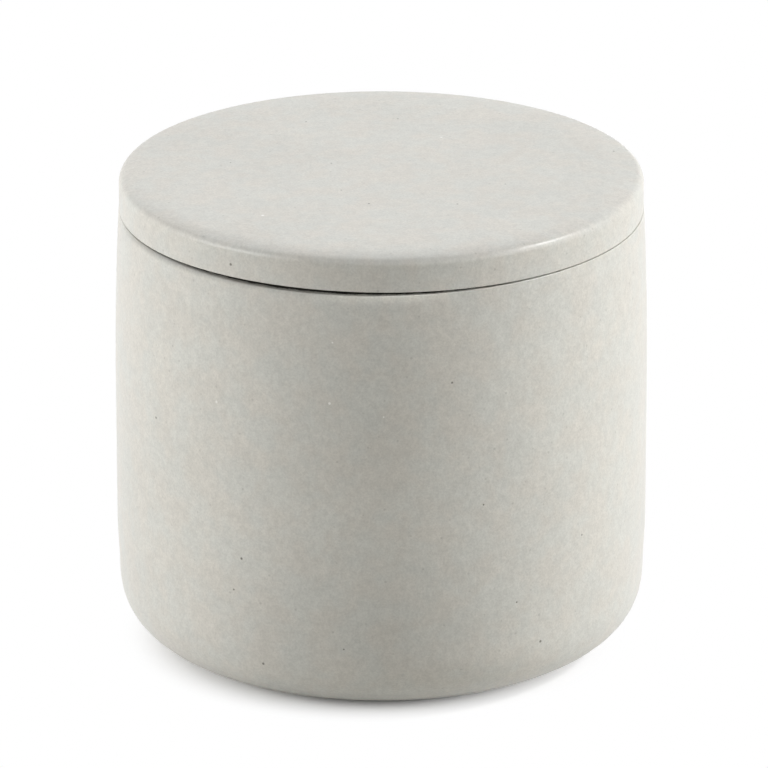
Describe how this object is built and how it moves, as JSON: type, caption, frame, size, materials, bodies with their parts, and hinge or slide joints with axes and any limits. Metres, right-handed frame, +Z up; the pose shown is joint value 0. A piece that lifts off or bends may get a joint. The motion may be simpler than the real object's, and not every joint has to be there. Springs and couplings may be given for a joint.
{
  "type": "lidded round box",
  "caption": "Round stoneware box with an upright wall, a rounded base and a flat lid, softened along its edge, that rests on the rim and lifts off.",
  "frame": {"origin": "centre of the foot ring on the plane that the box stands on", "axes": "+Z up along the axis that both pieces are turned about; the box is the same all round, so +X and +Y are free"},
  "size_m": [0.1, 0.1, 0.0917],
  "materials": {
    "stoneware": "satin matt pale grey glaze"
  },
  "bodies": {
    "pot": {"pot": "stoneware"},
    "lid": {"lid": "stoneware"}
  },
  "joints": [
    {"name": "lid_lift", "type": "slide", "parent": "pot", "child": "lid", "axis": [0, 0, 1], "range_m": [0, 0.1]}
  ]
}
